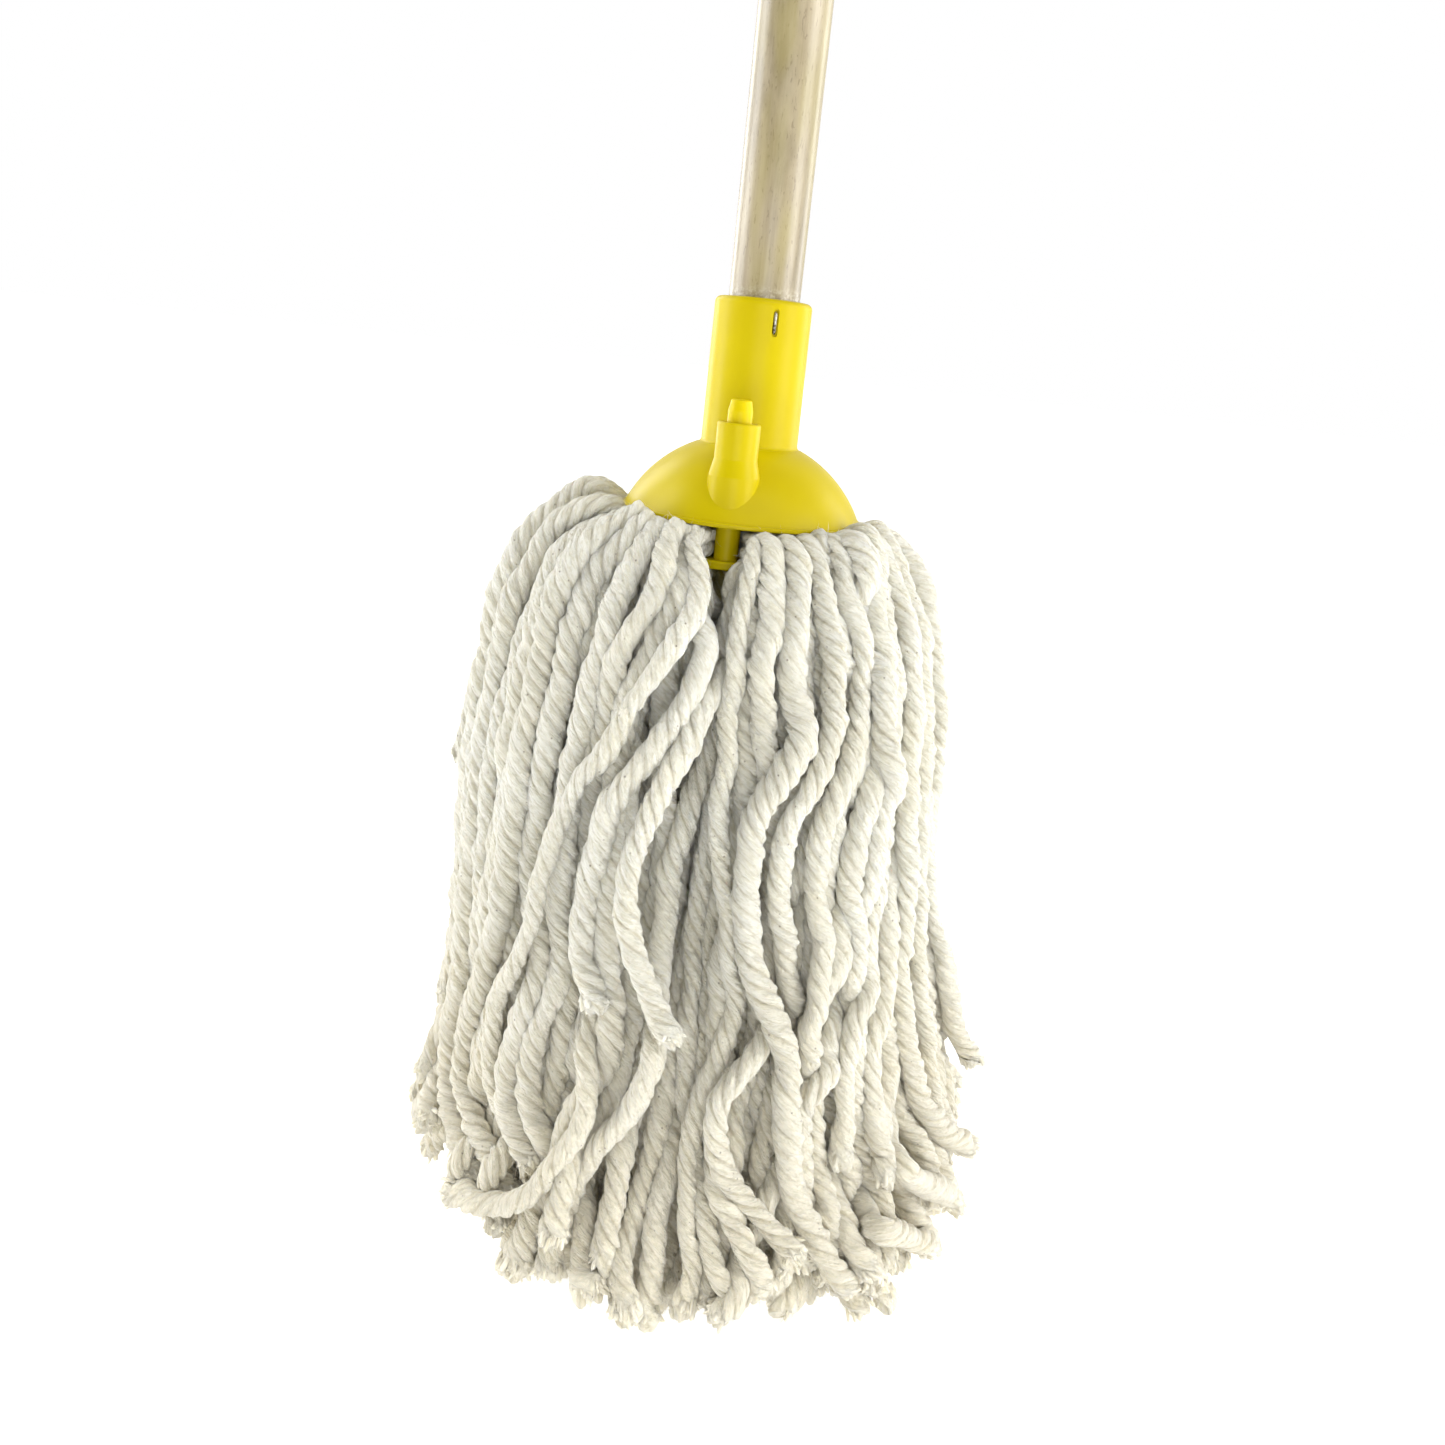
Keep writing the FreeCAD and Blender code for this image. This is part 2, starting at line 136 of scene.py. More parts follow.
# Legs with a path of their own: thickness, then points of turn, depth and how far outside the surface.
LEGS = (
    # two long legs that leave the head beside the front post and run down to the left
    (0.78, ((-10, 4, 0), (-6, 9, 1), (-3.5, 16, 2), (-4, 26, 4), (-8, 37, 5), (-15, 52, 5), (-20, 68, 5),
     (-27, 82, 5), (-31, 98, 5), (-34, 116, 5), (-35, 132, 5), (-38, 148, 5), (-42, 162, 4), (-41, 177, 3),
     (-37, 190, 2), (-30, 199, 1), (-23, 207, 0), (-17, 215, -2))),
    (0.98, ((-17, 9, -9), (-14, 15, -8), (-7, 21, -6), (-1, 27, -3), (1, 35, 0), (-1, 45, 2), (-5, 56, 3),
     (-9, 68, 4), (-14, 79, 5), (-18, 90, 5), (-19, 102, 4), (-20, 114, 3), (-20, 127, 3), (-18, 139, 3),
     (-14, 151, 4))),
    # a leg that comes out from behind them and ends high up at the front
    (0.95, ((19, 13, -15), (16, 22, -13), (12, 31, -10), (7, 41, -6), (3, 50, -2), (0, 59, 1), (-3, 72, 4),
     (-7, 86, 6), (-10, 102, 7), (-10, 116, 7), (-7, 128, 7), (-4, 138, 7), (0, 148, 7), (4, 157, 8))),
    # to the right of the post
    (0.80, ((13, 4, -1), (12, 12, 0), (10.5, 22, -1), (9.5, 34, -2), (9, 50, -3), (10, 66, -2), (9, 82, -2),
     (11, 100, -1), (14, 116, -1), (15, 132, -1), (17, 146, -2), (14, 162, -3), (11, 178, -2), (10, 196, 0),
     (11, 214, 1), (13, 230, 2), (12, 243, 3))),
    (1.05, ((18, 4, 0), (19, 12, 0), (18, 26, 0), (17, 40, 0), (18, 52, -2), (20, 66, -4), (22, 84, -7),
     (24, 110, -8), (23, 140, -7), (20, 170, -5), (18, 200, -3), (17, 238, 0))),
    (1.10, ((27, 3, 0), (27, 14, 1), (26, 26, 1), (25, 36, 1), (26, 46, 1), (28, 55, 2), (27, 62, 3),
     (23, 70, 3), (19, 79, 3), (17, 90, 3), (17, 104, 3), (19, 122, 3), (22, 137, 4), (27, 150, 5),
     (30, 163, 5), (30, 180, 5), (31, 196, 4), (34, 212, 3), (38, 226, 3), (43, 243, 3))),
    (0.9, ((35, 3, 0), (36, 16, 1), (37, 32, 1), (37, 46, 1), (36, 60, 2), (32, 70, 3), (27, 80, 3),
     (25, 92, 2), (25, 106, 1), (27, 122, 0), (29, 138, -2), (29, 156, -4), (27, 176, -5), (25, 200, -4),
     (24, 238, 0))),
    # the front leg that curves left and comes back to the right at the bottom
    (0.9, ((42, 8, -8), (38, 60, -9), (32, 110, -8), (28, 142, -4), (24, 157, 1), (20, 166, 4), (16, 175, 5),
     (15, 186, 5), (17, 196, 5), (20, 204, 5), (25, 212, 5), (29, 220, 6), (33, 228, 7))),
    (1.0, ((44, 3, 0), (46, 16, 1), (47, 32, 1), (46, 50, 1), (44, 64, 2), (39, 76, 3), (35, 88, 3),
     (34, 102, 2), (36, 116, 2), (39, 130, 3), (38, 144, 4), (35, 156, 4), (37, 170, 2), (36, 190, 0),
     (38, 215, 0), (41, 240, 1))),
    (1.0, ((53, 3, 0), (54, 18, 1), (54, 40, 1), (53, 58, 1), (49, 74, 2), (45, 90, 2), (43, 106, 2),
     (46, 124, 2), (49, 142, 2), (47, 160, 2), (48, 182, 1), (52, 204, 1), (55, 226, 2), (56, 244, 3))),
    # the leg that runs from the front to the left and lies out flat at its end
    (0.92, ((-25, 8, -7), (-22, 40, -7), (-19, 80, -8), (-16, 110, -8), (-15, 140, -6), (-14, 160, -1),
     (-13, 174, 4), (-12, 184, 6), (-13, 193, 8), (-16, 203, 9), (-18, 212, 9), (-21, 219, 9), (-26, 225, 9),
     (-31, 229, 9), (-36, 231, 9), (-41, 232, 9))),
    (0.96, ((18, 14, -16), (12, 36, -18), (5, 66, -14), (1, 90, -11), (-1, 125, -8), (0, 148, -2),
     (1, 164, 3), (-1, 175, 4), (-3, 183, 4), (-6, 191, 4), (-9, 199, 3), (-11, 208, 2), (-13, 220, 1),
     (-14, 238, 2))),
    # at the left of the front, from the high arch beside the dome down to the swirl above the hem
    (1.1, ((-60, -1, 2), (-64, 3, 6), (-67, 10, 5), (-66, 20, 4), (-64, 34, 3), (-63, 52, 2), (-62, 80, 2),
     (-60, 120, 2), (-58, 160, 3), (-57, 185, 3), (-55, 200, 3), (-49, 210, 3), (-41, 217, 3),
     (-33, 224, 2))),
    (1.1, ((-40, 0, 0), (-46, 5, 3), (-52, 14, 4), (-54, 26, 3), (-51, 42, 2), (-49, 62, 1), (-49, 90, 1),
     (-48, 130, 1), (-50, 160, 2), (-51, 185, 2), (-47, 199, 3), (-40, 207, 3), (-32, 213, 2),
     (-24, 221, 1))),
    (1.05, ((-31, 2, 0), (-37, 9, 1), (-42, 20, 1), (-41, 36, 1), (-39, 56, 0), (-40, 90, -1),
     (-38, 120, -3), (-31, 142, -1), (-31, 158, 2), (-33, 175, 3), (-32, 190, 3), (-27, 201, 2),
     (-21, 210, 0))),
    (1.0, ((-24, 2, 0), (-26, 10, 1), (-28, 22, 1), (-28, 40, 1), (-27, 60, 0), (-27, 90, -2),
     (-25, 125, -3), (-24, 148, 0), (-27, 164, 1), (-27, 180, 1), (-24, 192, 1), (-18, 202, -1),
     (-14, 212, -4))),
    (1.0, ((-19, 2, 0), (-17, 10, 2), (-16, 20, 2), (-19, 32, 2), (-23, 46, 1), (-24, 66, -2),
     (-24, 100, -5), (-21, 140, -6), (-20, 180, -5), (-18, 238, 0))),
    # lower right: legs that cross over each other
    (1.0, ((49, 6, -7), (46, 60, -6), (43, 100, -4), (42, 118, 0), (42, 128, 2), (40, 137, 3), (37, 146, 2),
     (34, 153, -1), (32, 165, -6), (30, 200, -9), (30, 238, -8))),
    (1.0, ((41, 5, -4), (41, 60, -7), (41, 110, -7), (42, 145, -3), (41, 156, 1), (38, 166, 2), (36, 174, 2),
     (34, 183, 1), (34, 196, 1), (36, 212, 0), (38, 232, 0))),
    (0.95, ((60, 3, 0), (58, 40, -2), (54, 90, -3), (51, 128, 1), (50, 142, 2), (48, 152, 3), (46, 163, 3),
     (44, 172, 3), (44, 184, 3), (44, 193, 3), (44, 200, 3))),
    (1.0, ((66, 3, 0), (64, 60, -2), (60, 120, -1), (58, 150, 1), (54, 166, 3), (52, 182, 3), (53, 194, 3),
     (55, 205, 3), (56, 213, 4))),
    # ends that come out from inside at the hem
    (1.0, ((40, 12, -9), (40, 120, -12), (40, 185, -9), (41, 206, -4), (44, 222, 2), (47, 234, 5),
     (51, 244, 7))),
    (1.05, ((47, 12, -9), (47, 120, -12), (46, 190, -9), (48, 212, -3), (51, 225, 4), (56, 233, 9),
     (62, 237, 14))),
    (1.05, ((57, 12, -9), (57, 120, -12), (56, 185, -7), (59, 206, 0), (64, 217, 7), (70, 225, 14))),
    (1.0, ((-62, 12, -9), (-62, 120, -10), (-62, 185, -6), (-62, 203, 1), (-61, 216, 6), (-59, 226, 9))),
    (1.0, ((17, 14, -18), (11, 40, -24), (7, 120, -26), (3, 190, -9), (1, 215, -3), (0, 232, 2),
     (2, 245, 6))),
    (1.0, ((-17, 14, -18), (-11, 40, -24), (-9, 120, -26), (-10, 190, -10), (-9, 216, -3), (-8, 232, 2),
     (-6, 242, 6))),
    # inner legs that close the hem
    (1.0, ((16, 14, -18), (10, 40, -24), (2, 120, -30), (2, 190, -12), (2, 240, -5))),
    (1.0, ((-20, 14, -16), (-20, 60, -17), (-20, 120, -16), (-20, 190, -9), (-19, 240, -5))),
    (1.0, ((-33, 14, -14), (-33, 60, -15), (-33, 120, -15), (-33, 190, -10), (-33, 226, -6))),
    (1.0, ((-16, 14, -20), (-10, 40, -28), (-4, 120, -34), (-4, 190, -20), (-4, 238, -12))),
    (1.0, ((-18, 14, -20), (-14, 40, -28), (-11, 120, -34), (-11, 190, -20), (-11, 236, -12))),
    (1.0, ((17, 14, -20), (12, 40, -28), (8, 120, -34), (8, 190, -20), (8, 240, -12))),
    # a short leg whose end shows at the left, and legs that bow out at the right
    (0.95, ((-89, 2, 0), (-89, 20, 3), (-89, 44, 5), (-89, 70, 7), (-89, 88, 9), (-89, 102, 11))),
    (1.05, ((72, 4, 0), (70, 40, 0), (67, 90, 0), (64, 140, 1), (64, 165, 2), (67, 188, 3), (72, 203, 5),
     (79, 214, 9), (85, 222, 14))),
    (1.0, ((86, 3, 0), (88, 50, 0), (89, 100, 1), (89, 130, 4), (90, 155, 9), (92, 172, 9), (93, 185, 11),
     (94, 196, 16))),
    # the outermost arch at the left, where the yarn stands up beside the dome
    (1.15, ((-100, -2, 0), (-98, -3, 5), (-97, 1, 9), (-97, 12, 9), (-97, 36, 7), (-97, 90, 4),
     (-96, 150, 2), (-92, 190, 2), (-86, 220, 4))),
    (1.1, ((-82, -3, 0), (-83, -4, 4), (-82, 1, 9), (-80, 12, 9), (-77, 34, 6), (-76, 90, 3), (-75, 150, 2),
     (-72, 190, 1), (-66, 216, 3))),
)
# A leg is as free as this to be pushed aside by others, where 1 is fully free
LEG_FREEDOM = 0.15

# How many legs hang in each layer, and how far inside the skirt's surface each layer is
LAYERS = ((62, 0.0), (50, 8.5), (38, 18.0), (20, 32.0))
# The step between the points of a leg's line
STEP = 4.0
# Outer legs leave this many degrees free beside a leg with its own path, and these turns beside the post
OWN_PATH_GAP = 3.6
BARE_FRONT = (-14, 13)
# The second layer leaves this many degrees free on each side of the post
SECOND_LAYER_GAP = 6
# The share of outer legs that are cut short, and how much shorter they are
SHORT_SHARE = 0.14
SHORTER_BY = (15, 55)
# A leg with its own path is matched to the view when all of it is this many degrees from the camera
FACES_CAMERA = 70
# The stretch of a leg between dome and plate: its depths when upper or lower, and its radii
ROOT_DEPTHS = (3.4, 8.0)
ROOT_RADII = (29.0, 33.0, 37.0, 41.0)
# Legs whose ends come out at the hem: height above the end, how far outside the surface, share of the sweep
HEM_LEGS = 46
HEM_ROUTE = ((225, -13, 0), (212, -13, 0), (190, -13, 0), (150, -13, 0), (100, -12, 0),
             (62, -10, 0), (42, -6, 0.05), (26, -1, 0.25), (12, 1, 0.6), (0, 1, 1))
# The least distance of a leg from the middle, by depth, because it comes out over the plate's edge
INNERMOST = ((0, 43), (12, 43), (20, 40), (45, 25), (75, 0))
# The hollow below the front post: how deep, how many degrees wide, and the depths where it fades out
PARTING_DEEP = 24.0
PARTING_WIDE = 10.5
PARTING_FADE = (140.0, 195.0)
# How many degrees a leg keeps from a post, by depth
POST_CLEAR = ((0, 10), (11, 11.5), (19, 14.5), (34, 13), (60, 4), (80, 0))
# How far the legs nearest a post are spread beyond that
POST_SPREAD = 0.7


def clear_of_posts(turn, turns, depth):
    """The turns of a leg that hangs at a given turn, moved aside where it would hide a post."""
    clear = curve_at(POST_CLEAR, depth)
    for post in (0.0, 180.0):
        side = 1.0 if wrapped(turn - post) > 0 else -1.0
        away = np.abs(wrapped(turns - post))
        turns = np.where(away < clear, post + side * (clear + POST_SPREAD * (clear - away)), turns)
    return turns


def hollow(turn, depth):
    """How much further inside the legs below the front post start."""
    fade_start, fade_end = PARTING_FADE
    stays = np.clip((fade_end - depth) / (fade_end - fade_start), 0, 1)
    return PARTING_DEEP * math.exp(-(turn / PARTING_WIDE) ** 2) * stays


def generic_leg(turn, layer):
    """A hanging leg with gentle bends of its own. layer is how far inside the skirt's surface it lies."""
    hem = curve_at(HEM, wrapped(turn)) + rng.uniform(-20, 5)
    if layer > 0:
        hem = FLOOR_DEPTH - rng.uniform(3, 14)
    elif rng.random() < SHORT_SHARE:
        hem -= rng.uniform(*SHORTER_BY)
    start = [3.0, 8.0, 16.0] if layer == 0 else [12.0, 19.0]
    depth = np.concatenate([start, np.arange(28.0, hem - 6, 12.0), [hem]])
    slow, quick = rng.uniform(115, 190), rng.uniform(52, 80)
    reach = curve_at(((0, 0), (40, 1), (300, 1.6)), depth)
    aside = rng.normal(0, 3.0) * reach * np.sin(2 * math.pi * depth / slow + rng.uniform(0, 6.28))
    aside += rng.normal(0, 1.1) * reach * np.sin(2 * math.pi * depth / quick + rng.uniform(0, 6.28))
    aside += rng.normal(0, 9.0) * np.clip((depth - hem + 45) / 45, 0, 1) ** 2
    out = -layer + rng.uniform(-1.2, 1.2)
    out = out + rng.normal(0, 1.0) * reach * np.sin(depth / slow * 6.28 + rng.uniform(0, 6.28))
    out += rng.uniform(-3, 7) * np.clip((depth - hem + 40) / 40, 0, 1) ** 2
    if layer > 0:
        out -= hollow(turn, depth)
    turns = turn + np.degrees(aside / skirt_radius(depth, turn))
    return list(zip(clear_of_posts(turn, turns, depth), depth, out))


def hem_leg(turn):
    """A leg that stays inside until its end comes out at the hem."""
    hem = curve_at(HEM, wrapped(turn)) + rng.uniform(-16, 8)
    sweep = rng.normal(0, 11.0)
    above_end, out, share = (np.array(c, float) for c in zip(*HEM_ROUTE))
    depth = hem - np.minimum(above_end, hem - 14)
    out = out + rng.uniform(0.0, 6.0) * share - hollow(turn, depth)
    turns = turn + np.degrees(sweep * share / skirt_radius(depth, turn))
    return list(zip(clear_of_posts(turn, turns, depth), depth, out))


def even_points(points, step):
    """Points at an even step along the line through the given points."""
    gaps = np.linalg.norm(np.diff(points, axis=0), axis=1)
    along = np.concatenate([[0], np.cumsum(gaps)])
    count = max(int(round(along[-1] / step)), 4)
    at = np.linspace(0, along[-1], count + 1)
    return np.stack([np.interp(at, along, points[:, k]) for k in range(3)], 1)


def smooth_line(points, step):
    """A smooth curve through the given points, cut at about the given step."""
    padded = np.vstack([2 * points[0] - points[1], points, 2 * points[-1] - points[-2]])
    pieces = []
    for i in range(1, len(padded) - 2):
        a, b, c, d = padded[i - 1:i + 3]
        count = max(int(np.linalg.norm(c - b) / step * 2), 2)
        t = np.linspace(0, 1, count, endpoint=False)[:, None]
        pieces.append(0.5 * (2 * b + (c - a) * t + (2 * a - 5 * b + 4 * c - d) * t ** 2
                             + (3 * b - a - 3 * c + d) * t ** 3))
    return even_points(np.vstack(pieces + [points[-1:]]), step)


def root_of_leg(turn, upper):
    """The stretch of a leg between dome and plate, kept clear of the two posts."""
    depth = ROOT_DEPTHS[0] if upper else ROOT_DEPTHS[1]
    turns = clear_of_posts(turn, np.full(len(ROOT_RADII), turn), 0.0)
    return place(turns, np.array(ROOT_RADII), np.array([depth + 0.6, depth + 0.3, depth, depth]))


def leg_line(route, upper, traced=False):
    """A leg's whole line from the clamp to its end, from its route on the skirt."""
    turn, depth, out = (np.array(c, float) for c in zip(*route))
    radius = np.maximum(skirt_radius(depth, turn) + out, curve_at(INNERMOST, depth))
    free = place(turn, radius, depth)
    if traced and np.all(np.abs(turn - CAMERA_TURN) < FACES_CAMERA):
        free = slid_in_view(place(turn, curve_at(SKIRT, depth), depth), radius)
    free[:, 2] = np.maximum(free[:, 2], RIM_Z - FLOOR_DEPTH + YARN_R)
    free[:, :2] *= np.minimum(WIDEST / np.hypot(free[:, 0], free[:, 1]), 1)[:, None]
    return smooth_line(np.vstack([root_of_leg(turn[0], upper), free]), STEP)


def lay_out_legs():
    """Every leg as a dictionary: its line, turn, radius and bundle, and whether its route is its own."""
    legs = []
    taken = []

    def add(line, own, turn, size):
        legs.append({"line": line, "own": own, "turn": turn, "r": YARN_R * size})

    for size, route in LEGS:
        upper = route[0][2] > -5
        add(leg_line(route, upper, traced=True), True, route[0][0], size)
        if upper:
            taken.append(route[0][0])
    for count, layer in LAYERS:
        for k in range(count):
            turn = float(wrapped((k + 0.5) * 360 / count + rng.uniform(-1.2, 1.2)))
            near = min(abs(float(wrapped(turn - t))) for t in taken)
            if layer == 0 and (near < OWN_PATH_GAP or BARE_FRONT[0] < turn < BARE_FRONT[1]):
                continue
            if layer == LAYERS[1][1] and abs(turn) < SECOND_LAYER_GAP:
                continue
            line = leg_line(generic_leg(turn, layer), layer == 0)
            add(line, False, turn, rng.uniform(0.86, 1.12))
    for k in range(HEM_LEGS):
        turn = float(wrapped((k + 0.5) * 360 / HEM_LEGS + rng.uniform(-3, 3)))
        add(leg_line(hem_leg(turn), False), False, turn, rng.uniform(0.86, 1.05))
    for leg in legs:
        leg["bundle"] = int((leg["turn"] % 360) // (360 / BUNDLES))
    return legs


# ---- settling the legs against each other

# Rounds of settling, and how many rounds go by before neighbours are looked up again, within this reach
SETTLE_ROUNDS = 56
NEIGHBOUR_ROUNDS = 8
NEIGHBOUR_REACH = 2.6 * YARN_R
# Legs touch at this share of their radii, because cotton gives
TOUCH = 0.86
# The most that a round moves two points apart, and the shares of a push and a pull that it takes up
PUSH_MOST = 2.0
PUSH_SHARE = 0.55
PULL_SHARE = 0.6
# How strongly a leg is drawn back to its route, and how stiff it is
HOLD_OWN = 0.2
HOLD_FREE = 0.025
BEND = 0.22
# This many points of a leg stay fixed at the clamp
PINNED = 5


def near_pairs(points, owner, reach):
    """Index pairs of points on different legs that are closer than reach."""
    order = np.argsort(points[:, 2], kind="stable")
    sorted_points = points[order]
    first, second = [], []
    block = 256
    for start in range(0, len(points), block):
        rows = sorted_points[start:start + block]
        stop = np.searchsorted(sorted_points[:, 2], rows[-1, 2] + reach)
        others = sorted_points[start:stop]
        gap = sum((rows[:, None, k] - others[None, :, k]) ** 2 for k in range(3))
        i, j = np.nonzero(gap < reach * reach)
        keep = j > i
        i, j = order[i[keep] + start], order[j[keep] + start]
        apart = owner[i] != owner[j]
        first.append(i[apart])
        second.append(j[apart])
    return np.concatenate(first), np.concatenate(second)


def settle(legs):
    """Pushes overlapping legs apart, keeps their length and stiffness, and keeps them off the head."""
    points = np.concatenate([leg["line"] for leg in legs]).astype(np.float32)
    sizes = [len(leg["line"]) for leg in legs]
    starts = np.concatenate([[0], np.cumsum(sizes)])
    owner = np.repeat(np.arange(len(legs)), sizes)
    number = np.concatenate([np.arange(s) for s in sizes])
    last = np.concatenate([np.full(s, s - 1) for s in sizes])
    own = np.array([leg["own"] for leg in legs])[owner]
    radius = np.array([leg["r"] for leg in legs])[owner] * thickness(number * STEP)
    free = np.where(number < PINNED, 0.0, np.where(own, LEG_FREEDOM, 1.0)).astype(np.float32)
    home = points.copy()
    hold = np.where(own, HOLD_OWN, HOLD_FREE)[:, None] * (free > 0)[:, None]
    inner = np.nonzero((number > 0) & (number < last))[0]
    link = np.nonzero(number < last)[0]
    for turn_round in range(SETTLE_ROUNDS):
        if turn_round % NEIGHBOUR_ROUNDS == 0:
            i, j = near_pairs(points, owner, NEIGHBOUR_REACH)
        points += hold * (home - points)
        apart = points[i] - points[j]
        gap = np.linalg.norm(apart, axis=1) + 1e-6
        push = np.clip((radius[i] + radius[j]) * TOUCH - gap, 0, PUSH_MOST)
        weight = free[i] + free[j] + 1e-6
        move = apart / gap[:, None] * push[:, None] * PUSH_SHARE
        change = np.zeros_like(points)
        np.add.at(change, i, move * (free[i] / weight)[:, None])
        np.add.at(change, j, -move * (free[j] / weight)[:, None])
        points += change
        middle = (points[inner - 1] + points[inner + 1]) / 2
        points[inner] += BEND * free[inner, None] * (middle - points[inner])
        along = points[link + 1] - points[link]
        size = np.linalg.norm(along, axis=1, keepdims=True) + 1e-6
        pull = along * (1 - STEP / size) * 0.5
        change = np.zeros_like(points)
        np.add.at(change, link, pull * (free[link] > 0)[:, None])
        np.add.at(change, link + 1, -pull * (free[link + 1] > 0)[:, None])
        points += change * PULL_SHARE
        keep_off_head(points, radius, free)
    for k, leg in enumerate(legs):
        leg["line"] = points[starts[k]:starts[k + 1]].astype(float)


def keep_off_head(points, radius, free):
    """Moves points out of the dome's lip and off the floor."""
    r = np.hypot(points[:, 0], points[:, 1])
    above = points[:, 2] - RIM_Z
    room = LIP_R + radius + 0.3
    inside = (above > -radius) & (r < room) & (free > 0)
    scale = np.where(inside, room / np.maximum(r, 1e-3), 1.0)
    points[:, :2] *= np.minimum(scale, 1.15)[:, None]
    points[:, 2] = np.maximum(points[:, 2], RIM_Z - FLOOR_DEPTH + radius)
    points[:, :2] *= np.minimum(WIDEST / np.maximum(r, 1.0), 1)[:, None]


# ---- rope geometry

# Plies in a yarn, points around it, the step between its rings, and the length of one turn of its twist
PLIES = 4
RING = 40
RING_STEP = 1.1
LAY = 25.0
# How deep the grooves between plies are, against the radius, and how sharp
PLY_DEPTH = 0.19
GROOVE = 0.8
# How far above its cut end a leg starts to open, and to round off
OPENING = 10.0
ROUNDING = 4.5
# The rings over a cut end: their share of its width, and how far beyond it they are
END_RINGS = ((0.90, 0.9), (0.72, 1.8), (0.42, 2.4))


def thickness(along):
    """How thick a leg is along its length, against its full thickness: squeezed at the clamp."""
    return curve_at(((0, 0.60), (12, 0.74), (40, 1.0), (120, 0.98), (400, 0.95)), along)


def eased(values, at):
    """The rows of a table of values at fractional places, eased from each row to the next."""
    low = np.floor(at).astype(int)
    t = (at - low).reshape((-1,) + (1,) * (values.ndim - 1))
    t = t * t * (3 - 2 * t)
    return values[low] * (1 - t) + values[(low + 1) % len(values)] * t


def slow_noise(length, wave, size):
    """A smooth random wave along a leg, one value per ring."""
    knots = max(int(length * RING_STEP / wave) + 3, 4)
    return eased(rng.normal(0, size, knots), np.linspace(0, knots - 1.001, length))


def skin_noise(length, wave, around, size):
    """Smooth random bumps over a leg's surface, with so many lumps around it."""
    rows = max(int(length * RING_STEP / wave) + 3, 4)
    along = eased(rng.normal(0, size, (rows, around)), np.linspace(0, rows - 1.001, length))
    return eased(along.T, np.arange(RING) / RING * around).T


def travelling_frames(line):
    """Two unit vectors across the line at each of its points, turning as little as possible."""
    tangent = np.gradient(line, axis=0)
    tangent /= np.linalg.norm(tangent, axis=1, keepdims=True)
    side = np.cross(tangent[0], (0.3, 0.5, 0.8))
    sides = []
    for t in tangent:
        side = side - t * (side @ t)
        side = side / np.linalg.norm(side)
        sides.append(side)
    sides = np.array(sides)
    return tangent, sides, np.cross(tangent, sides)


def ring_faces(rings):
    """Quads between rings of points, and the triangles that close both ends on two extra points."""
    index = np.arange(rings * RING).reshape(rings, RING)
    ahead = np.roll(index, -1, axis=1)
    quads = np.stack([index[:-1], index[1:], ahead[1:], ahead[:-1]], -1).reshape(-1, 4)
    first, last = rings * RING, rings * RING + 1
    start = np.stack([np.full(RING, first), index[0], ahead[0]], -1)
    end = np.stack([np.full(RING, last), ahead[-1], index[-1]], -1)
    return quads, np.concatenate([start, end])


